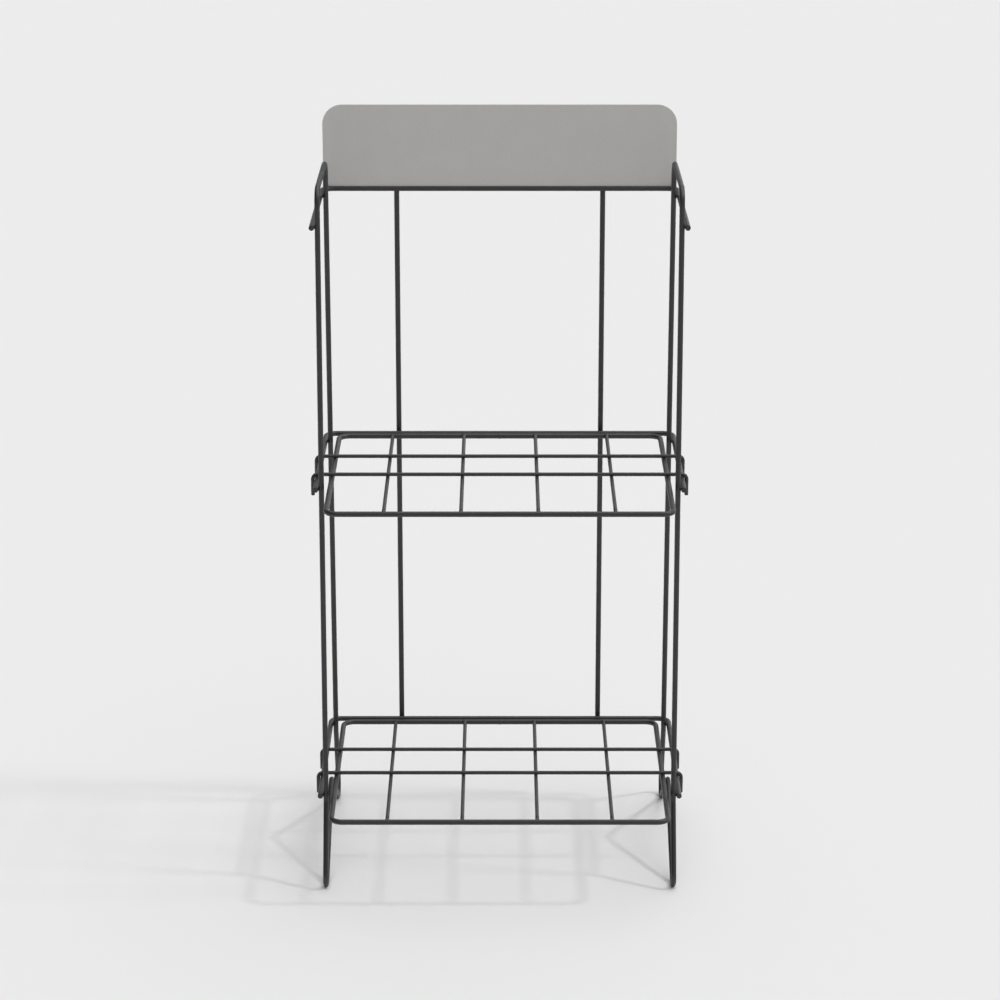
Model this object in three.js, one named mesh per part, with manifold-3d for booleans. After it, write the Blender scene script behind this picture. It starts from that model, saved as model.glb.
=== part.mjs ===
// Newspaper rack bent from round steel wire: two standing side frames, three U-shaped brackets
// welded across them, two back wires, a header panel, and two wire shelves that drop onto the
// brackets' arms and are held there by the bent-down ends of their hook wires.
//
// Millimetres, +Z up, the open front faces -Y. "Left" and "right" are a viewer's, seen from the front.

import * as THREE from 'three';
import { mergeVertices } from 'three/addons/utils/BufferGeometryUtils.js';
import Module from 'manifold-3d';

const manifold = await Module();
manifold.setup();

// Wire sizes
const FRAME_WIRE = 6.35;
const SHELF_WIRE = 4.5;
const WIRE_SIDES = 12;
const BEND_STEPS = 5;
const GAP = 0.3; // left between pieces that touch, and between a ring's two ends before welding

// Side frames: closed loops in upright planes, symmetric about the plane Y = 0
const SIDE_X = 208;
const LOOP_TOP_Z = 837.2;
const LOOP_TOP_HALF_DEPTH = 86.7;
const SPLAY_Z = 100;
const SPLAY_HALF_DEPTH = 116.2;
const FOOT_CORNER_HALF_DEPTH = 166;
const FOOT_CORNER_Z = -16.25;
const ARCH_TOP_Z = 81.5;
const LOOP_TOP_BEND = 20;
const SPLAY_BEND = 8;
const FOOT_BEND = 13.5;
const ARCH_BEND = 10;

// Brackets: a rear crossbar with an arm forward along the outside of each side frame
const BRACKET_Z = { top: 794.6, upper: 486.3, lower: 108.1 };
const CROSSBAR_Y = 136.3;
const ARM_X = SIDE_X + FRAME_WIRE + GAP;
const BRACKET_BEND = 14;
const ARM_OVERHANG = 2; // how far an arm's cut end stands out in front of the front upright

// Back wires, behind the crossbars
const BACK_WIRE_X = 125;
const BACK_WIRE_END_INSET = 1; // how far each end stops short of the outer crossbars' far edges

// Header panel, standing on the top crossbar
const PANEL_WIDTH = 427;
const PANEL_HEIGHT = 98.8;
const PANEL_THICKNESS = 1.5;
const PANEL_CORNER = 24;
const PANEL_CORNER_STEPS = 10;

// Shelves: a rim with four run wires inside it and two hook wires across its top
const RIM_X = 198;
const RIM_REAR_Y = CROSSBAR_Y - 12;
const RIM_FRONT_Y = -199.4;
const RIM_BEND = 13.5;
const HOOK_WIRE_Y = { rear: 16, front: -60.3 };
const HOOK_WIRE_LIFT = (FRAME_WIRE + SHELF_WIRE) / 2 + GAP;
const HOOK_X = ARM_X + (FRAME_WIRE + SHELF_WIRE) / 2 + GAP;
const HOOK_LENGTH = 25.4;
const HOOK_BEND = 6;
const RUN_WIRE_COUNT = 4;
const RUN_WIRE_SPACING = 88;
const RUN_WIRE_LIFT = HOOK_WIRE_LIFT - SHELF_WIRE - GAP;

// Butt weld where a wire's two ends close a ring: a low collar around the joint
const WELD_COLLAR_LENGTH = 2.4;
const WELD_COLLAR_DIAMETER = FRAME_WIRE + 0.8;

const CHARCOAL = { color: 0x2b2b2c, roughness: 0.5, metalness: 0.1 };
const GREY = { color: 0x9c9c9a, roughness: 0.55, metalness: 0.1 };

// The centre line of a bent wire: straight runs joined by round bends. It is sampled only where
// the section has to be placed: at its ends and along each bend.
class BentWire extends THREE.Curve {
  constructor(corners, bends) {
    super();
    this.stations = [];
    this.addEnd(corners[0], corners[1], corners[0]);
    for (let i = 1; i < corners.length - 1; i += 1) {
      this.addBend(corners[i - 1], corners[i], corners[i + 1], bends[i - 1]);
    }
    this.addEnd(corners.at(-2), corners.at(-1), corners.at(-1));
  }

  addEnd(from, to, point) {
    this.stations.push({ point: point.clone(), tangent: to.clone().sub(from).normalize() });
  }

  addBend(before, corner, after, radius) {
    const arriving = corner.clone().sub(before).normalize();
    const leaving = after.clone().sub(corner).normalize();
    const turn = arriving.angleTo(leaving);
    const axis = arriving.clone().cross(leaving).normalize();
    const start = corner.clone().addScaledVector(arriving, -radius * Math.tan(turn / 2));
    const spoke = axis.clone().cross(arriving).multiplyScalar(-radius);
    const centre = start.clone().sub(spoke);
    for (let step = 0; step <= BEND_STEPS; step += 1) {
      const angle = (turn * step) / BEND_STEPS;
      this.stations.push({
        point: spoke.clone().applyAxisAngle(axis, angle).add(centre),
        tangent: arriving.clone().applyAxisAngle(axis, angle),
      });
    }
  }

  stationAt(u) {
    return this.stations[Math.round(u * (this.stations.length - 1))];
  }

  getPointAt(u) {
    return this.stationAt(u).point.clone();
  }

  getTangentAt(u) {
    return this.stationAt(u).tangent.clone();
  }
}

function vector(x, y, z) {
  return new THREE.Vector3(x, y, z);
}

function roundSection(diameter) {
  const corners = [];
  for (let side = 0; side < WIRE_SIDES; side += 1) {
    const angle = (side / WIRE_SIDES) * 2 * Math.PI;
    corners.push(new THREE.Vector2(Math.cos(angle), Math.sin(angle)).multiplyScalar(diameter / 2));
  }
  return new THREE.Shape(corners);
}

// A round wire with flat cut ends along the given corners
function wireGeometry(diameter, corners, bends = []) {
  const path = new BentWire(corners, bends);
  return new THREE.ExtrudeGeometry(roundSection(diameter), {
    extrudePath: path,
    steps: path.stations.length - 1,
    bevelEnabled: false,
  });
}

function solidFrom(geometry) {
  const shell = geometry.clone();
  shell.deleteAttribute('normal');
  shell.deleteAttribute('uv');
  const merged = mergeVertices(shell);
  const mesh = new manifold.Mesh({
    numProp: 3,
    vertProperties: new Float32Array(merged.attributes.position.array),
    triVerts: new Uint32Array(merged.index.array),
  });
  return new manifold.Manifold(mesh);
}

function geometryFrom(solid) {
  const mesh = solid.getMesh();
  const geometry = new THREE.BufferGeometry();
  geometry.setAttribute('position', new THREE.BufferAttribute(mesh.vertProperties, 3));
  geometry.setIndex(new THREE.BufferAttribute(mesh.triVerts, 1));
  geometry.computeVertexNormals();
  return geometry;
}

// A low collar around the butt weld at a point of a wire that runs along the given direction
function weldCollar(point, direction) {
  const radius = WELD_COLLAR_DIAMETER / 2;
  const collar = new THREE.CylinderGeometry(radius, radius, WELD_COLLAR_LENGTH, WIRE_SIDES);
  const turn = new THREE.Quaternion().setFromUnitVectors(vector(0, 1, 0), direction);
  collar.applyQuaternion(turn);
  collar.translate(point.x, point.y, point.z);
  return collar;
}

// A closed ring of frame wire. Its ends are butt-welded halfway between the last and first corners.
function ringSolid(corners, bends) {
  const last = corners.at(-1);
  const first = corners[0];
  const joint = last.clone().add(first).multiplyScalar(0.5);
  const direction = first.clone().sub(last).normalize();
  const start = joint.clone().addScaledVector(direction, GAP / 2);
  const end = joint.clone().addScaledVector(direction, -GAP / 2);
  const wire = solidFrom(wireGeometry(FRAME_WIRE, [start, ...corners, end], bends));
  return wire.add(solidFrom(weldCollar(joint, direction)));
}

// Everything of the solid that is above the floor, so that each foot has a small flat under it
function cutAtFloor(solid) {
  const block = new THREE.BoxGeometry(4 * SIDE_X, 4 * FOOT_CORNER_HALF_DEPTH, 2 * FOOT_BEND);
  block.translate(0, 0, -FOOT_BEND);
  return solid.subtract(solidFrom(block));
}

// Half the distance between a side frame's front and rear uprights at a height
function uprightHalfDepth(z) {
  const share = (LOOP_TOP_Z - z) / (LOOP_TOP_Z - SPLAY_Z);
  return THREE.MathUtils.lerp(LOOP_TOP_HALF_DEPTH, SPLAY_HALF_DEPTH, share);
}

// One closed loop: up the front upright, over the top, down the rear upright, out to the rear
// foot, and back to the front foot through an arch like an upside-down V
function sideFrame(x) {
  const corners = [
    vector(x, 0, ARCH_TOP_Z),
    vector(x, -FOOT_CORNER_HALF_DEPTH, FOOT_CORNER_Z),
    vector(x, -SPLAY_HALF_DEPTH, SPLAY_Z),
    vector(x, -LOOP_TOP_HALF_DEPTH, LOOP_TOP_Z),
    vector(x, LOOP_TOP_HALF_DEPTH, LOOP_TOP_Z),
    vector(x, SPLAY_HALF_DEPTH, SPLAY_Z),
    vector(x, FOOT_CORNER_HALF_DEPTH, FOOT_CORNER_Z),
  ];
  const bends = [
    ARCH_BEND, FOOT_BEND, SPLAY_BEND, LOOP_TOP_BEND, LOOP_TOP_BEND, SPLAY_BEND, FOOT_BEND,
  ];
  return geometryFrom(cutAtFloor(ringSolid(corners, bends)));
}

// A U lying flat: the arms end just in front of the front uprights they are welded to
function bracket(z) {
  const armEndY = -uprightHalfDepth(z) - FRAME_WIRE / 2 - ARM_OVERHANG;
  const corners = [
    vector(-ARM_X, armEndY, z),
    vector(-ARM_X, CROSSBAR_Y, z),
    vector(ARM_X, CROSSBAR_Y, z),
    vector(ARM_X, armEndY, z),
  ];
  return wireGeometry(FRAME_WIRE, corners, [BRACKET_BEND, BRACKET_BEND]);
}

function backWire(x) {
  const y = CROSSBAR_Y + FRAME_WIRE + GAP;
  const endOffset = FRAME_WIRE / 2 - BACK_WIRE_END_INSET;
  const bottom = vector(x, y, BRACKET_Z.lower - endOffset);
  const top = vector(x, y, BRACKET_Z.top + endOffset);
  return wireGeometry(FRAME_WIRE, [bottom, top]);
}

// A flat sheet with its two upper corners rounded
function headerPanel() {
  const halfWidth = PANEL_WIDTH / 2;
  const bottom = BRACKET_Z.top + FRAME_WIRE / 2 + GAP;
  const top = bottom + PANEL_HEIGHT;
  const outline = new THREE.Shape();
  outline.moveTo(-halfWidth, bottom);
  outline.lineTo(halfWidth, bottom);
  outline.lineTo(halfWidth, top - PANEL_CORNER);
  outline.absarc(halfWidth - PANEL_CORNER, top - PANEL_CORNER, PANEL_CORNER, 0, Math.PI / 2);
  outline.lineTo(PANEL_CORNER - halfWidth, top);
  outline.absarc(PANEL_CORNER - halfWidth, top - PANEL_CORNER, PANEL_CORNER, Math.PI / 2, Math.PI);
  const sheet = new THREE.ExtrudeGeometry(outline, {
    depth: PANEL_THICKNESS,
    curveSegments: PANEL_CORNER_STEPS,
    bevelEnabled: false,
  });
  sheet.rotateX(Math.PI / 2);
  sheet.translate(0, CROSSBAR_Y + PANEL_THICKNESS / 2, 0);
  return sheet;
}

// The ring around a shelf. Its butt weld is in the middle of the rear rail.
function shelfRim(z) {
  const corners = [
    vector(RIM_X, RIM_REAR_Y, z),
    vector(RIM_X, RIM_FRONT_Y, z),
    vector(-RIM_X, RIM_FRONT_Y, z),
    vector(-RIM_X, RIM_REAR_Y, z),
  ];
  return geometryFrom(ringSolid(corners, corners.map(() => RIM_BEND)));
}

// A wire across a shelf that lies on the rim and on both arms, its ends bent down outside the arms
function hookWire(y, shelfZ) {
  const z = shelfZ + HOOK_WIRE_LIFT;
  const corners = [
    vector(-HOOK_X, y, z - HOOK_LENGTH),
    vector(-HOOK_X, y, z),
    vector(HOOK_X, y, z),
    vector(HOOK_X, y, z - HOOK_LENGTH),
  ];
  return wireGeometry(SHELF_WIRE, corners, [HOOK_BEND, HOOK_BEND]);
}

// A straight wire from the front rail to the rear rail, just under the hook wires
function runWire(x, shelfZ) {
  const z = shelfZ + RUN_WIRE_LIFT;
  const endInset = FRAME_WIRE / 2 + GAP;
  const front = vector(x, RIM_FRONT_Y + endInset, z);
  const rear = vector(x, RIM_REAR_Y - endInset, z);
  return wireGeometry(SHELF_WIRE, [front, rear]);
}

function addPiece(group, name, geometry, finish) {
  const piece = new THREE.Mesh(geometry, new THREE.MeshStandardMaterial(finish));
  piece.name = name;
  group.add(piece);
}

function weldedFrame() {
  const frame = new THREE.Group();
  addPiece(frame, 'left_side_frame', sideFrame(-SIDE_X), CHARCOAL);
  addPiece(frame, 'right_side_frame', sideFrame(SIDE_X), CHARCOAL);
  for (const [level, z] of Object.entries(BRACKET_Z)) {
    addPiece(frame, `${level}_bracket`, bracket(z), CHARCOAL);
  }
  addPiece(frame, 'left_back_wire', backWire(-BACK_WIRE_X), CHARCOAL);
  addPiece(frame, 'right_back_wire', backWire(BACK_WIRE_X), CHARCOAL);
  addPiece(frame, 'header_panel', headerPanel(), GREY);
  return frame;
}

function shelf(level) {
  const z = BRACKET_Z[level];
  const group = new THREE.Group();
  addPiece(group, `${level}_shelf_rim`, shelfRim(z), CHARCOAL);
  for (const [place, y] of Object.entries(HOOK_WIRE_Y)) {
    addPiece(group, `${level}_shelf_${place}_hook_wire`, hookWire(y, z), CHARCOAL);
  }
  for (let number = 1; number <= RUN_WIRE_COUNT; number += 1) {
    const x = (number - (RUN_WIRE_COUNT + 1) / 2) * RUN_WIRE_SPACING;
    addPiece(group, `${level}_shelf_run_wire_${number}`, runWire(x, z), CHARCOAL);
  }
  return group;
}

const rack = new THREE.Group();
rack.add(weldedFrame(), shelf('upper'), shelf('lower'));

// The origin is on the floor at the centre of the rack's footprint
const bounds = new THREE.Box3().setFromObject(rack);
rack.position.y = -bounds.getCenter(new THREE.Vector3()).y;

export default rack;
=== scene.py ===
"""Newspaper rack of bent and welded wire: its looks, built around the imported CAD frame.

Metres, +Z up, the open front faces -Y. "Left" and "right" are a viewer's, seen from the front.
Every wire is swept again as a smooth round wire in the CAD wire's own place, and the welds and
the two powder coats are added.
"""

import math

import bmesh
import bpy
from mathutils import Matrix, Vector, noise


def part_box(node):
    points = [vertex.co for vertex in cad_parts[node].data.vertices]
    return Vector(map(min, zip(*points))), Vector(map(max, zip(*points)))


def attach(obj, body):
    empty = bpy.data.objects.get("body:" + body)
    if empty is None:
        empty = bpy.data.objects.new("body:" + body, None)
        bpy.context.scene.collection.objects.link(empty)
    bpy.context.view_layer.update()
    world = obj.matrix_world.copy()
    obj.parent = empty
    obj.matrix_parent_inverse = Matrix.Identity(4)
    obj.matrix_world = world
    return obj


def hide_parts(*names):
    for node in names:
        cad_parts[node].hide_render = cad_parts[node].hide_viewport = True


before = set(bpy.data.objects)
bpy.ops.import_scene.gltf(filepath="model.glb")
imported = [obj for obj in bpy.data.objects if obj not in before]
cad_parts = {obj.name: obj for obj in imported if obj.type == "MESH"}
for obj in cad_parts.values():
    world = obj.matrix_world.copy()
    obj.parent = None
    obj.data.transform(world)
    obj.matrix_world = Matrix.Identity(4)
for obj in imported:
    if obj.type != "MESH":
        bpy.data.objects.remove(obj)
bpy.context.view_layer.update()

X_AXIS = Vector((1, 0, 0))
Y_AXIS = Vector((0, 1, 0))
Z_AXIS = Vector((0, 0, 1))

# What the rack has more than one of
LEVELS = ("upper", "lower")
BRACKET_LEVELS = ("top",) + LEVELS
SIDES = ("left", "right")
HOOK_PLACES = ("rear", "front")
RUN_WIRES = range(1, 5)

# Corners and bends that the boxes don't give, the same as in the CAD
SPLAY_Z = 0.100
LOOP_TOP_HALF_DEPTH = 0.0867
SPLAY_HALF_DEPTH = 0.1162
FOOT_CORNER_HALF_DEPTH = 0.166
FOOT_CORNER_Z = -0.01625
ARCH_TOP_Z = 0.0815
LOOP_TOP_BEND = 0.020
SPLAY_BEND = 0.008
FOOT_BEND = 0.0135
ARCH_BEND = 0.010
BRACKET_BEND = 0.014
RIM_BEND = 0.0135
HOOK_BEND = 0.006
PANEL_CORNER = 0.024

# Mesh fineness
FRAME_WIRE_SIDES = 28
SHELF_WIRE_SIDES = 22
WELD_SIDES = 20
BEAD_SIDES = 14
BEND_STEP = math.radians(5)
FEWEST_BEND_STEPS = 3
STRAIGHT_STEP = 0.012
PANEL_CORNER_STEPS = 16

# Rounded edges of the cut ends and of the sheet. The profile's depths and swells are shares of
# CUT_EDGE.
CUT_EDGE = 0.00055
CUT_EDGE_PROFILE = ((0.0, -1.0), (0.07, -0.62), (0.3, -0.28), (0.62, -0.07), (1.0, 0.0))
PANEL_EDGE = 0.0004

# Butt welds of the closed wires: reach is in spreads on each side, with so many steps a spread
BUTT_WELD_HEIGHT = 0.00034
BUTT_WELD_SPREAD = 0.0009
BUTT_WELD_REACH = 2
BUTT_WELD_STEPS = 3

# Necks of weld between crossing wires. The waist and the flare are shares of the thinner wire's
# radius, and the end a share of the flare. At levels -1 and 1 a neck lies on the two wires, and
# beyond them its ends close, sunk a little into the wires.
NECK_WAIST = 0.58
NECK_FLARE = 0.86
NECK_END_SHARE = 0.7
NECK_CURVE = 1.7
NECK_SINK = 0.0004
NECK_LEVELS = (-1.25, -1, -0.7, -0.35, 0, 0.35, 0.7, 1, 1.25)

# Fillets of weld at the run wires' ends: place along the wire and swell of each ring on the wire,
# spread and sink of each ring on the rail, and the share of the rail's height that they may cover
COLLAR_PROFILE = ((-0.0020, -0.0003), (-0.0016, 0.00002), (-0.0009, 0.00014), (-0.0003, 0.00040))
FILLET_PROFILE = ((0.0009, 0.0), (0.0004, 0.0005))
RAIL_SHARE = 0.97

# Extra length of a run wire at each end, and how deep the sheet's lower edge is in the crossbar
WELD_SINK = 0.0005

# How much the welds vary from place to place
UNEVEN_SCALE = 900
NECK_UNEVENNESS = 0.10
COLLAR_UNEVENNESS = 0.25
FILLET_UNEVENNESS = 0.2

# Weld beads behind the header panel. Their place and their tips are shares of BEAD_RADIUS.
BEAD_COUNT = 6
BEAD_LENGTH = 0.016
BEAD_RADIUS = 0.0012
BEAD_BEHIND_SHEET = 0.7
BEAD_ABOVE_CROSSBAR = 0.1
BEAD_TIP = 0.05
BEAD_RIPPLE = 0.07
BEAD_RIPPLE_LENGTH = 0.0016
BEAD_STEPS = 40

# Powder coat: the range that a noise's values mostly lie in, the noises' scales per metre, and how
# much each of them changes the tone or the gloss
NOISE_RANGE = (0.3, 0.7)
CLOUD_SCALE = 45
CLOUD_SHARE = (0.15, 0.35)
SPECKLE_SHARE = (0.0, 0.5)
GLOSS_SCALE = 160
GLOSS_SPREAD = 0.05
BUMP_STRENGTH = 0.5

# Studio. A ramp holds a range of one part of the direction, and the light at its two ends.
FLOOR_RADIUS = 60
FLOOR_TONE = 0.81
KEY_LIGHT_PLACE = (3.15, -0.27, 3.41)
KEY_LIGHT_STRENGTH = 0.62
KEY_LIGHT_ANGLE = math.radians(5)
SIDEWAYS_RAMP = ((-0.8, 1.0), (0.4, 2.6))
BACKWARDS_RAMP = ((0.1, 1.0), (0.9, 2.4))
UPWARDS_RAMP = ((0.65, 0.95), (0.207, 1.38))
BACKDROP_LIGHT = 0.84

# The photograph's camera: sensor and lens in millimetres, downward tilt in degrees, and how far it
# stands in front of the side frames' middle
CAMERA_SENSOR = 36
CAMERA_LENS = 110.66
CAMERA_TILT = 17.115
CAMERA_X = 0.00035
CAMERA_Z = 1.5293
CAMERA_TO_FRAME = 3.5316
CAMERA_REACH = 200


def wire_radius(node):
    """Half the height of a wire that lies flat."""
    lo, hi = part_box(node)
    return (hi.z - lo.z) / 2


FRAME_RADIUS = wire_radius("top_bracket")
SHELF_RADIUS = wire_radius("upper_shelf_run_wire_1")


# ---------------------------------------------------------------- wires


class Station:
    """A place on a wire's centre line: where it is, which way the wire runs, and its extra radius."""

    def __init__(self, point, tangent, swell=0.0):
        self.point = point
        self.tangent = tangent
        self.swell = swell


def bend_stations(before, corner, after, radius):
    """The round bend that replaces a corner."""
    arriving = (corner - before).normalized()
    leaving = (after - corner).normalized()
    turn = arriving.angle(leaving)
    axis = arriving.cross(leaving).normalized()
    start = corner - arriving * radius * math.tan(turn / 2)
    spoke = arriving.cross(axis) * radius
    bend_centre = start - spoke
    count = max(FEWEST_BEND_STEPS, math.ceil(turn / BEND_STEP))
    stations = []
    for step in range(count + 1):
        angle = turn * step / count
        turned_spoke = spoke * math.cos(angle) + arriving * radius * math.sin(angle)
        tangent = arriving * math.cos(angle) + axis.cross(arriving) * math.sin(angle)
        stations.append(Station(bend_centre + turned_spoke, tangent))
    return stations


def straight_stations(start, end):
    """Places between two points of a straight run, without the two ends."""
    run = end - start
    count = max(1, round(run.length / STRAIGHT_STEP))
    tangent = run.normalized()
    return [Station(start + run * step / count, tangent) for step in range(1, count)]


def joined(groups, closed):
    """One list of stations from the bends and ends, with straight runs filled in between them."""
    stations = []
    for index, group in enumerate(groups):
        stations += group
        if index + 1 < len(groups) or closed:
            following = groups[(index + 1) % len(groups)]
            stations += straight_stations(group[-1].point, following[0].point)
    return stations


def open_wire(corners, bends):
    """A wire with two free ends."""
    first = (corners[1] - corners[0]).normalized()
    last = (corners[-1] - corners[-2]).normalized()
    groups = [[Station(corners[0], first)]]
    for index, radius in enumerate(bends):
        groups.append(bend_stations(*corners[index:index + 3], radius))
    groups.append([Station(corners[-1], last)])
    return joined(groups, closed=False)


def closed_wire(corners, bends):
    """A ring of wire, with the low swelling of its butt weld between the last and first corners."""
    count = len(corners)
    groups = []
    for index, radius in enumerate(bends):
        before = corners[index - 1]
        after = corners[(index + 1) % count]
        groups.append(bend_stations(before, corners[index], after, radius))
    joint = (corners[-1] + corners[0]) / 2
    groups.append(butt_weld_stations(joint, (corners[0] - corners[-1]).normalized()))
    return joined(groups, closed=True)


def butt_weld_stations(joint, direction):
    """The bell-shaped swelling where the two ends of a wire are welded to each other."""
    stations = []
    last = BUTT_WELD_REACH * BUTT_WELD_STEPS
    for step in range(-last, last + 1):
        offset = step * BUTT_WELD_SPREAD / BUTT_WELD_STEPS
        swell = BUTT_WELD_HEIGHT * math.exp(-(offset / BUTT_WELD_SPREAD) ** 2)
        stations.append(Station(joint + direction * offset, direction, swell))
    return stations


def with_cut_ends(stations):
    """Adds the slightly rounded edges of a sheared and coated wire end at both ends."""
    first, last = stations[0], stations[-1]
    start, end = [], []
    for depth, swell in CUT_EDGE_PROFILE:
        along = depth * CUT_EDGE
        start.append(Station(first.point + first.tangent * along, first.tangent, swell * CUT_EDGE))
        end.append(Station(last.point - last.tangent * along, last.tangent, swell * CUT_EDGE))
    return start + stations[1:-1] + end[::-1]


def circle_angles(count):
    return [2 * math.pi * step / count for step in range(count)]


def ring_points(station, normal, radius, sides):
    """The round section at a station of a wire that lies in a plane with the given normal."""
    across = normal.cross(station.tangent).normalized()
    size = radius + station.swell
    points = []
    for angle in circle_angles(sides):
        outward = normal * math.cos(angle) + across * math.sin(angle)
        points.append(station.point + outward * size)
    return points


def swept_rings(mesh, stations, normal, radius, sides):
    """A ring of vertices round each station."""
    rings = []
    for station in stations:
        points = ring_points(station, normal, radius, sides)
        rings.append([mesh.verts.new(point) for point in points])
    return rings


def bridge(mesh, rings):
    """Faces between each ring of vertices and the next."""
    for ring, following in zip(rings, rings[1:]):
        count = len(ring)
        for side in range(count):
            other = (side + 1) % count
            mesh.faces.new((ring[side], ring[other], following[other], following[side]))


def capped_tube(mesh, rings):
    """Faces between the rings of vertices, and one over each end."""
    bridge(mesh, rings)
    mesh.faces.new(rings[0])
    mesh.faces.new(rings[-1])


def new_piece(name, mesh, smooth=True):
    """A Blender object from a bmesh, with its faces pointing out."""
    bmesh.ops.recalc_face_normals(mesh, faces=mesh.faces)
    data = bpy.data.meshes.new(name)
    mesh.to_mesh(data)
    mesh.free()
    for polygon in data.polygons:
        polygon.use_smooth = smooth
    piece = bpy.data.objects.new(name, data)
    bpy.context.scene.collection.objects.link(piece)
    return piece


def swept_wire(name, stations, normal, radius, sides, closed=False):
    """A wire in a plane with the given normal, as a ring of its own or with a face at each end."""
    mesh = bmesh.new()
    rings = swept_rings(mesh, stations, normal, radius, sides)
    if closed:
        bridge(mesh, rings + [rings[0]])
    else:
        capped_tube(mesh, rings)
    return new_piece(name, mesh)


def centre(node):
    lo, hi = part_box(node)
    return (lo + hi) / 2


def side_frame_middle_y():
    return centre("left_side_frame").y


def side_frame_top_z(side):
    """The height of the centre line along the top of a side frame."""
    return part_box(f"{side}_side_frame")[1].z - FRAME_RADIUS


def upright_half_depth(z):
    """Half the distance between a side frame's uprights at a height."""
    top_z = side_frame_top_z("left")
    share = (top_z - z) / (top_z - SPLAY_Z)
    return LOOP_TOP_HALF_DEPTH + (SPLAY_HALF_DEPTH - LOOP_TOP_HALF_DEPTH) * share


def side_frame(side):
    """A closed loop of wire: two uprights, two splayed feet and the arch between them."""
    node = f"{side}_side_frame"
    x = centre(node).x
    middle = side_frame_middle_y()
    top_z = side_frame_top_z(side)
    outline = [
        (0, ARCH_TOP_Z, ARCH_BEND),
        (-FOOT_CORNER_HALF_DEPTH, FOOT_CORNER_Z, FOOT_BEND),
        (-SPLAY_HALF_DEPTH, SPLAY_Z, SPLAY_BEND),
        (-LOOP_TOP_HALF_DEPTH, top_z, LOOP_TOP_BEND),
        (LOOP_TOP_HALF_DEPTH, top_z, LOOP_TOP_BEND),
        (SPLAY_HALF_DEPTH, SPLAY_Z, SPLAY_BEND),
        (FOOT_CORNER_HALF_DEPTH, FOOT_CORNER_Z, FOOT_BEND),
    ]
    corners = [Vector((x, middle + y, z)) for y, z, _ in outline]
    bends = [bend for _, _, bend in outline]
    stations = closed_wire(corners, bends)
    wire = swept_wire(f"{node}_wire", stations, X_AXIS, FRAME_RADIUS, FRAME_WIRE_SIDES, closed=True)
    settle_feet(wire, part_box(node)[1].y)
    return wire


def settle_feet(wire, rear_y):
    """Wears the underside of each foot to the small flat that it stands on.

    The rear feet also keep in front of rear_y, the back of the CAD's wire.
    """
    for vertex in wire.data.vertices:
        vertex.co.z = max(vertex.co.z, 0.0)
        vertex.co.y = min(vertex.co.y, rear_y)


def bracket(level):
    """A U of wire lying flat, open to the front."""
    node = f"{level}_bracket"
    lo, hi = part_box(node)
    z = centre(node).z
    x = hi.x - FRAME_RADIUS
    rear_y = hi.y - FRAME_RADIUS
    corners = [
        Vector((-x, lo.y, z)),
        Vector((-x, rear_y, z)),
        Vector((x, rear_y, z)),
        Vector((x, lo.y, z)),
    ]
    stations = with_cut_ends(open_wire(corners, [BRACKET_BEND, BRACKET_BEND]))
    return swept_wire(f"{node}_wire", stations, Z_AXIS, FRAME_RADIUS, FRAME_WIRE_SIDES)


def back_wire(side):
    """A straight upright behind the brackets."""
    node = f"{side}_back_wire"
    lo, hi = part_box(node)
    middle = centre(node)
    bottom = Vector((middle.x, middle.y, lo.z))
    top = Vector((middle.x, middle.y, hi.z))
    stations = with_cut_ends(open_wire([bottom, top], []))
    return swept_wire(f"{node}_rod", stations, X_AXIS, FRAME_RADIUS, FRAME_WIRE_SIDES)


def rear_rail_y(level):
    """The centre line of a shelf's rear rail: the run wires stop equally short of both rails."""
    front_rail_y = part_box(f"{level}_shelf_rim")[0].y + FRAME_RADIUS
    run_lo, run_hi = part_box(f"{level}_shelf_run_wire_1")
    return run_hi.y + (run_lo.y - front_rail_y)


def shelf_rim(level):
    """A closed ring of wire round a shelf."""
    node = f"{level}_shelf_rim"
    lo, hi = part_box(node)
    z = centre(node).z
    x = hi.x - FRAME_RADIUS
    front_y = lo.y + FRAME_RADIUS
    rear_y = rear_rail_y(level)
    corners = [
        Vector((x, rear_y, z)),
        Vector((x, front_y, z)),
        Vector((-x, front_y, z)),
        Vector((-x, rear_y, z)),
    ]
    stations = closed_wire(corners, [RIM_BEND] * len(corners))
    return swept_wire(f"{node}_wire", stations, Z_AXIS, FRAME_RADIUS, FRAME_WIRE_SIDES, closed=True)


def hook_wire(level, place):
    """A wire across a shelf, bent down at both ends over the bracket's arms."""
    node = f"{level}_shelf_{place}_hook_wire"
    lo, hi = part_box(node)
    y = centre(node).y
    x = hi.x - SHELF_RADIUS
    z = hi.z - SHELF_RADIUS
    corners = [
        Vector((-x, y, lo.z)),
        Vector((-x, y, z)),
        Vector((x, y, z)),
        Vector((x, y, lo.z)),
    ]
    stations = with_cut_ends(open_wire(corners, [HOOK_BEND, HOOK_BEND]))
    return swept_wire(f"{node}_bent", stations, Y_AXIS, SHELF_RADIUS, SHELF_WIRE_SIDES)


def run_wire(level, number):
    """A straight wire from a shelf's front rail to its rear rail, with its ends in the welds."""
    node = f"{level}_shelf_run_wire_{number}"
    lo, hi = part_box(node)
    middle = centre(node)
    front = Vector((middle.x, lo.y - WELD_SINK, middle.z))
    rear = Vector((middle.x, hi.y + WELD_SINK, middle.z))
    stations = open_wire([front, rear], [])
    return swept_wire(f"{node}_rod", stations, X_AXIS, SHELF_RADIUS, SHELF_WIRE_SIDES)


# ---------------------------------------------------------------- welds


def uneven(point, amount):
    """A factor near 1 that varies from place to place, as hand-set welds do."""
    return 1 + amount * noise.noise(point * UNEVEN_SCALE)


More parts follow.
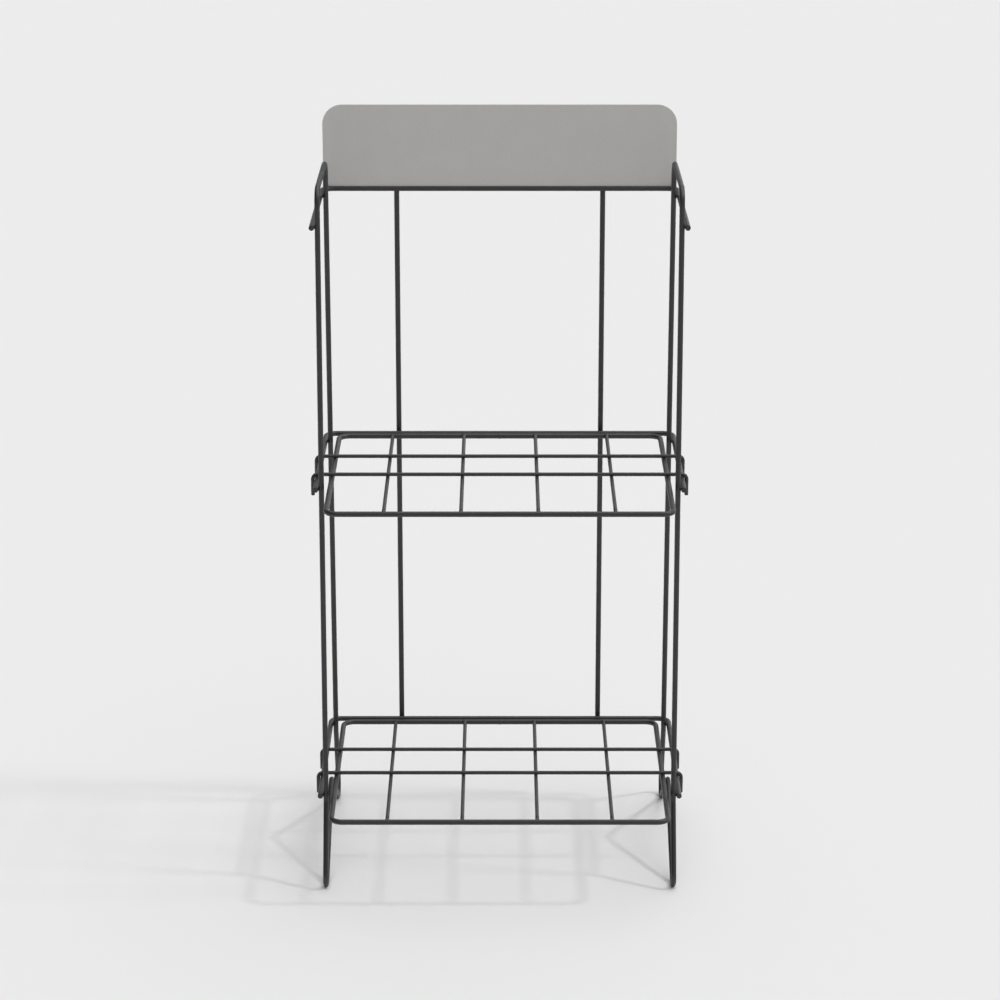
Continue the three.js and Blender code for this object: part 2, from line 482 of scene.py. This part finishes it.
def cad_gap():
    """The gap that the CAD leaves between welded pieces: an arm beside a side frame shows it."""
    frame_x = centre("right_side_frame").x
    arm_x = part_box("top_bracket")[1].x - FRAME_RADIUS
    return arm_x - frame_x - 2 * FRAME_RADIUS


def neck_spread(level, radius):
    """How far a neck of weld reaches from its middle at a level."""
    waist = NECK_WAIST * radius
    flare = NECK_FLARE * radius
    if abs(level) > 1:
        return NECK_END_SHARE * flare
    return waist + (flare - waist) * abs(level) ** NECK_CURVE


def neck_height(level, surface_a, surface_b):
    """Where a level of a neck lies: between the two wires' surfaces, or just inside one of them."""
    share = (max(-1, min(1, level)) + 1) / 2
    height = surface_a + (surface_b - surface_a) * share
    if abs(level) > 1:
        height += math.copysign(NECK_SINK, level)
    return height


def crossing_weld(mesh, contact, apart, along_a, radius_a, radius_b):
    """The fused neck between two wires that cross at right angles.

    apart points from wire a to wire b, and along_a is the direction that wire a runs in.
    """
    side = apart.cross(along_a)
    half_gap = cad_gap() / 2
    rings = []
    for level in NECK_LEVELS:
        spread = neck_spread(level, min(radius_a, radius_b))
        ring = []
        for angle in circle_angles(WELD_SIDES):
            u = spread * math.cos(angle)
            v = spread * math.sin(angle)
            rough = uneven(contact + along_a * u + side * v, NECK_UNEVENNESS)
            u *= rough
            v *= rough
            surface_a = -half_gap - radius_a + math.sqrt(radius_a ** 2 - v ** 2)
            surface_b = half_gap + radius_b - math.sqrt(radius_b ** 2 - u ** 2)
            height = neck_height(level, surface_a, surface_b)
            point = contact + along_a * u + side * v + apart * height
            ring.append(mesh.verts.new(point))
        rings.append(ring)
    capped_tube(mesh, rings)


def collar_ring(mesh, end, towards, along, swell):
    """A ring of weld round a run wire, at a place along it from its end."""
    ring = []
    for angle in circle_angles(WELD_SIDES):
        outward = X_AXIS * math.cos(angle) + Z_AXIS * math.sin(angle)
        rough = uneven(end + outward * SHELF_RADIUS + towards * along, COLLAR_UNEVENNESS)
        reach = SHELF_RADIUS + swell * rough
        ring.append(mesh.verts.new(end + towards * along + outward * reach))
    return ring


def fillet_ring(mesh, end, towards, rail_height, spread, sink):
    """A ring of weld that lies on a rail's round surface, or sink below it."""
    to_axis = cad_gap() + FRAME_RADIUS
    limit = RAIL_SHARE * FRAME_RADIUS
    ring = []
    for angle in circle_angles(WELD_SIDES):
        outward = X_AXIS * math.cos(angle) + Z_AXIS * math.sin(angle)
        reach = SHELF_RADIUS + spread * uneven(end + outward, FILLET_UNEVENNESS)
        height = reach * math.sin(angle) + rail_height
        height = max(-limit, min(limit, height))
        depth = to_axis - math.sqrt(FRAME_RADIUS ** 2 - height ** 2) + sink
        point = end + towards * depth + X_AXIS * reach * math.cos(angle)
        ring.append(mesh.verts.new(point + Z_AXIS * (height - rail_height)))
    return ring


def end_weld(mesh, end, towards, rail_height):
    """The fillet round a run wire's end where it meets a rail.

    towards points from the wire to the rail, and the wire's axis is rail_height above the rail's.
    """
    rings = []
    for along, swell in COLLAR_PROFILE:
        rings.append(collar_ring(mesh, end, towards, along, swell))
    for spread, sink in FILLET_PROFILE:
        rings.append(fillet_ring(mesh, end, towards, rail_height, spread, sink))
    capped_tube(mesh, rings)


def bracket_welds(mesh, level):
    """A bracket's welds: its arms to the four uprights, and its crossbar to the two back wires."""
    z = centre(f"{level}_bracket").z
    crossbar_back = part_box(f"{level}_bracket")[1].y
    middle = side_frame_middle_y()
    half_gap = cad_gap() / 2
    for side in SIDES:
        frame_x = centre(f"{side}_side_frame").x
        outward = Vector((math.copysign(1, frame_x), 0, 0))
        x = frame_x + outward.x * (FRAME_RADIUS + half_gap)
        for end in (-1, 1):
            contact = Vector((x, middle + end * upright_half_depth(z), z))
            crossing_weld(mesh, contact, -outward, Y_AXIS, FRAME_RADIUS, FRAME_RADIUS)
        back_x = centre(f"{side}_back_wire").x
        contact = Vector((back_x, crossbar_back + half_gap, z))
        crossing_weld(mesh, contact, Y_AXIS, X_AXIS, FRAME_RADIUS, FRAME_RADIUS)


def frame_welds():
    mesh = bmesh.new()
    for level in BRACKET_LEVELS:
        bracket_welds(mesh, level)
    return new_piece("frame_welds", mesh)


def hook_wire_welds(mesh, level, place):
    """A hook wire's welds, to the rim below it at both sides and to the run wires below it."""
    rim_z = centre(f"{level}_shelf_rim").z
    rim_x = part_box(f"{level}_shelf_rim")[1].x - FRAME_RADIUS
    hook_y = centre(f"{level}_shelf_{place}_hook_wire").y
    half_gap = cad_gap() / 2
    for x in (-rim_x, rim_x):
        contact = Vector((x, hook_y, rim_z + FRAME_RADIUS + half_gap))
        crossing_weld(mesh, contact, Z_AXIS, Y_AXIS, FRAME_RADIUS, SHELF_RADIUS)
    for number in RUN_WIRES:
        run = centre(f"{level}_shelf_run_wire_{number}")
        contact = Vector((run.x, hook_y, run.z + SHELF_RADIUS + half_gap))
        crossing_weld(mesh, contact, Z_AXIS, Y_AXIS, SHELF_RADIUS, SHELF_RADIUS)


def shelf_welds(level):
    """A shelf's welds: hook wires to the rim and the run wires, and run wires to the two rails."""
    mesh = bmesh.new()
    for place in HOOK_PLACES:
        hook_wire_welds(mesh, level, place)
    rim_z = centre(f"{level}_shelf_rim").z
    for number in RUN_WIRES:
        node = f"{level}_shelf_run_wire_{number}"
        lo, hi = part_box(node)
        run = centre(node)
        lift = run.z - rim_z
        end_weld(mesh, Vector((run.x, lo.y, run.z)), -Y_AXIS, lift)
        end_weld(mesh, Vector((run.x, hi.y, run.z)), Y_AXIS, lift)
    return new_piece(f"{level}_shelf_welds", mesh)


# ---------------------------------------------------------------- header panel


def panel_outline(lo, hi):
    """The sheet's outline in X and Z: straight below, with two round upper corners."""
    bottom = lo.z - cad_gap() - WELD_SINK
    outline = [(lo.x, bottom), (hi.x, bottom)]
    for corner_x, start in ((hi.x - PANEL_CORNER, 0), (lo.x + PANEL_CORNER, 90)):
        for step in range(PANEL_CORNER_STEPS + 1):
            angle = math.radians(start + 90 * step / PANEL_CORNER_STEPS)
            x = corner_x + PANEL_CORNER * math.cos(angle)
            z = hi.z - PANEL_CORNER + PANEL_CORNER * math.sin(angle)
            outline.append((x, z))
    return outline


def along_a_face(edge):
    """Whether an edge of the sheet runs along its front or rear face, and not through the sheet."""
    first, second = edge.verts
    return abs(first.co.y - second.co.y) < PANEL_EDGE


def header_panel():
    """A flat sheet with two round upper corners and softly rounded edges."""
    lo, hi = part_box("header_panel")
    mesh = bmesh.new()
    face = mesh.faces.new([mesh.verts.new((x, lo.y, z)) for x, z in panel_outline(lo, hi)])
    pulled = bmesh.ops.extrude_face_region(mesh, geom=[face])
    far_side = [item for item in pulled["geom"] if isinstance(item, bmesh.types.BMVert)]
    bmesh.ops.translate(mesh, verts=far_side, vec=Vector((0, hi.y - lo.y, 0)))
    edges = [edge for edge in mesh.edges if along_a_face(edge)]
    bmesh.ops.bevel(mesh, geom=edges, offset=PANEL_EDGE, segments=3, profile=0.5, affect="EDGES")
    return new_piece("header_panel_sheet", mesh, smooth=False)


def bead_stations(middle_x, y, z):
    """A short rippled bead along X, round at both ends."""
    stations = []
    for step in range(BEAD_STEPS + 1):
        along = (step / BEAD_STEPS - 0.5) * BEAD_LENGTH
        end_share = 2 * abs(along) / BEAD_LENGTH
        rounding = math.sqrt(max(0.0, 1 - end_share ** 4))
        ripple = 1 + BEAD_RIPPLE * math.sin(2 * math.pi * along / BEAD_RIPPLE_LENGTH)
        size = max(BEAD_TIP, rounding * ripple) * BEAD_RADIUS
        stations.append(Station(Vector((middle_x + along, y, z)), X_AXIS, size - BEAD_RADIUS))
    return stations


def panel_weld_beads():
    """Short weld beads behind the panel, between its lower edge and the top crossbar."""
    lo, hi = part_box("header_panel")
    y = hi.y + BEAD_BEHIND_SHEET * BEAD_RADIUS
    z = centre("top_bracket").z + FRAME_RADIUS + BEAD_ABOVE_CROSSBAR * BEAD_RADIUS
    mesh = bmesh.new()
    for bead in range(BEAD_COUNT):
        middle_x = (bead + 0.5 - BEAD_COUNT / 2) * (hi.x - lo.x) / BEAD_COUNT
        stations = bead_stations(middle_x, y, z)
        capped_tube(mesh, swept_rings(mesh, stations, Z_AXIS, BEAD_RADIUS, BEAD_SIDES))
    return new_piece("header_panel_weld_beads", mesh)


# ---------------------------------------------------------------- materials


def noise_node(nodes, links, coordinates, scale, detail):
    """A noise over the piece's own coordinates."""
    node = nodes.new("ShaderNodeTexNoise")
    node.inputs["Scale"].default_value = scale
    node.inputs["Detail"].default_value = detail
    links.new(coordinates.outputs["Object"], node.inputs["Vector"])
    return node.outputs["Fac"]


def ramp_node(nodes, links, source, source_range, target_range, interpolation="LINEAR"):
    """Carries one range of a value over to another, and holds it at the two ends."""
    node = nodes.new("ShaderNodeMapRange")
    node.interpolation_type = interpolation
    node.inputs["From Min"].default_value = source_range[0]
    node.inputs["From Max"].default_value = source_range[1]
    node.inputs["To Min"].default_value = target_range[0]
    node.inputs["To Max"].default_value = target_range[1]
    links.new(source, node.inputs["Value"])
    return node.outputs["Result"]


def math_node(nodes, links, operation, first, second):
    """The sum or the product of two values."""
    node = nodes.new("ShaderNodeMath")
    node.operation = operation
    links.new(first, node.inputs[0])
    links.new(second, node.inputs[1])
    return node.outputs["Value"]


def coated_metal(name, dark, light, roughness, specular, grain_scale, grain_height):
    """Powder coat over metal: cloudy tone, uneven gloss, and the orange peel of the cured film."""
    material = bpy.data.materials.new(name)
    material.use_nodes = True
    nodes = material.node_tree.nodes
    links = material.node_tree.links
    shader = nodes["Principled BSDF"]
    shader.inputs["Specular IOR Level"].default_value = specular
    coordinates = nodes.new("ShaderNodeTexCoord")
    clouds = noise_node(nodes, links, coordinates, CLOUD_SCALE, detail=3)
    speckle = noise_node(nodes, links, coordinates, grain_scale, detail=2)
    gloss = noise_node(nodes, links, coordinates, GLOSS_SCALE, detail=2)

    tone = nodes.new("ShaderNodeMix")
    tone.data_type = "RGBA"
    tone.inputs["A"].default_value = (*dark, 1)
    tone.inputs["B"].default_value = (*light, 1)
    cloud_share = ramp_node(nodes, links, clouds, NOISE_RANGE, CLOUD_SHARE)
    speckle_share = ramp_node(nodes, links, speckle, NOISE_RANGE, SPECKLE_SHARE)
    links.new(math_node(nodes, links, "ADD", cloud_share, speckle_share), tone.inputs["Factor"])
    links.new(tone.outputs["Result"], shader.inputs["Base Color"])

    gloss_range = (roughness - GLOSS_SPREAD, roughness + GLOSS_SPREAD)
    links.new(ramp_node(nodes, links, gloss, NOISE_RANGE, gloss_range), shader.inputs["Roughness"])

    bump = nodes.new("ShaderNodeBump")
    bump.inputs["Strength"].default_value = BUMP_STRENGTH
    bump.inputs["Distance"].default_value = grain_height
    links.new(speckle, bump.inputs["Height"])
    links.new(bump.outputs["Normal"], shader.inputs["Normal"])
    return material


def floor_material():
    material = bpy.data.materials.new("pale_floor")
    material.use_nodes = True
    shader = material.node_tree.nodes["Principled BSDF"]
    shader.inputs["Roughness"].default_value = 0.9
    shader.inputs["Specular IOR Level"].default_value = 0.0
    shader.inputs["Base Color"].default_value = (FLOOR_TONE, FLOOR_TONE, FLOOR_TONE, 1)
    return material


# ---------------------------------------------------------------- stage


def stage_floor():
    mesh = bmesh.new()
    bmesh.ops.create_circle(mesh, cap_ends=True, segments=64, radius=FLOOR_RADIUS)
    floor = new_piece("floor", mesh)
    floor.data.materials.append(floor_material())


def key_light():
    """A small far light high on the right, which draws soft but visible shadows to the left."""
    light = bpy.data.lights.new("key_light", "SUN")
    light.angle = KEY_LIGHT_ANGLE
    light.energy = KEY_LIGHT_STRENGTH
    lamp = bpy.data.objects.new("key_light", light)
    lamp.location = KEY_LIGHT_PLACE
    lamp.rotation_euler = (-lamp.location).to_track_quat("-Z", "Y").to_euler()
    bpy.context.scene.collection.objects.link(lamp)


def studio_surround():
    """Soft light from all round: brightest from the right, from overhead and from behind.

    The camera itself sees an even pale backdrop above the floor.
    """
    world = bpy.data.worlds.new("studio_surround")
    world.use_nodes = True
    nodes = world.node_tree.nodes
    links = world.node_tree.links
    direction = nodes.new("ShaderNodeTexCoord")
    parts = nodes.new("ShaderNodeSeparateXYZ")
    links.new(direction.outputs["Generated"], parts.inputs["Vector"])
    sideways = ramp_node(nodes, links, parts.outputs["X"], *SIDEWAYS_RAMP, "SMOOTHSTEP")
    backwards = ramp_node(nodes, links, parts.outputs["Y"], *BACKWARDS_RAMP, "SMOOTHSTEP")
    upwards = ramp_node(nodes, links, parts.outputs["Z"], *UPWARDS_RAMP, "SMOOTHSTEP")
    around = math_node(nodes, links, "MULTIPLY", sideways, backwards)
    backdrop = nodes.new("ShaderNodeMix")
    backdrop.inputs["B"].default_value = BACKDROP_LIGHT
    ray = nodes.new("ShaderNodeLightPath")
    links.new(ray.outputs["Is Camera Ray"], backdrop.inputs["Factor"])
    links.new(math_node(nodes, links, "MULTIPLY", around, upwards), backdrop.inputs["A"])
    links.new(backdrop.outputs["Result"], nodes["Background"].inputs["Strength"])
    nodes["Background"].inputs["Color"].default_value = (1, 1, 1, 1)
    bpy.context.scene.world = world


def photo_camera():
    """The photograph's camera: a long lens in front of the rack, looking down on it."""
    camera = bpy.data.cameras.new("photo_camera")
    camera.sensor_width = CAMERA_SENSOR
    camera.lens = CAMERA_LENS
    camera.clip_end = CAMERA_REACH
    view = bpy.data.objects.new("photo_camera", camera)
    view.location = (CAMERA_X, side_frame_middle_y() - CAMERA_TO_FRAME, CAMERA_Z)
    view.rotation_euler = (math.radians(90 - CAMERA_TILT), 0, 0)
    bpy.context.scene.collection.objects.link(view)
    bpy.context.scene.camera = view


# ---------------------------------------------------------------- the rack


def finish_piece(piece, body, slot, material, *nodes):
    """Coats a piece, ties it to its body, and hides the CAD nodes that it stands for. The slot is not
    used.
    """
    piece.data.materials.append(material)
    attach(piece, body)
    if nodes:
        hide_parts(*nodes)


def build_frame(charcoal, grey):
    for side in SIDES:
        finish_piece(side_frame(side), "frame", "frame_wire", charcoal, f"{side}_side_frame")
        finish_piece(back_wire(side), "frame", "frame_wire", charcoal, f"{side}_back_wire")
    for level in BRACKET_LEVELS:
        finish_piece(bracket(level), "frame", "frame_wire", charcoal, f"{level}_bracket")
    finish_piece(frame_welds(), "frame", "frame_wire", charcoal)
    finish_piece(header_panel(), "frame", "header_panel", grey, "header_panel")
    finish_piece(panel_weld_beads(), "frame", "header_panel", grey)


def build_shelf(level, charcoal):
    body = f"{level}_shelf"
    finish_piece(shelf_rim(level), body, "shelf_wire", charcoal, f"{level}_shelf_rim")
    for place in HOOK_PLACES:
        node = f"{level}_shelf_{place}_hook_wire"
        finish_piece(hook_wire(level, place), body, "shelf_wire", charcoal, node)
    for number in RUN_WIRES:
        node = f"{level}_shelf_run_wire_{number}"
        finish_piece(run_wire(level, number), body, "shelf_wire", charcoal, node)
    finish_piece(shelf_welds(level), body, "shelf_wire", charcoal)


photo_camera()
stage_floor()
key_light()
studio_surround()
bpy.context.scene.view_settings.view_transform = "Standard"

charcoal_coat = coated_metal(
    "charcoal_powder_coat",
    dark=(0.008, 0.008, 0.008),
    light=(0.021, 0.021, 0.021),
    roughness=0.45,
    specular=0.65,
    grain_scale=900,
    grain_height=0.0001,
)
grey_coat = coated_metal(
    "grey_powder_coat",
    dark=(0.548, 0.540, 0.527),
    light=(0.618, 0.609, 0.595),
    roughness=0.62,
    specular=0.3,
    grain_scale=500,
    grain_height=0.00004,
)
build_frame(charcoal_coat, grey_coat)
for shelf_level in LEVELS:
    build_shelf(shelf_level, charcoal_coat)
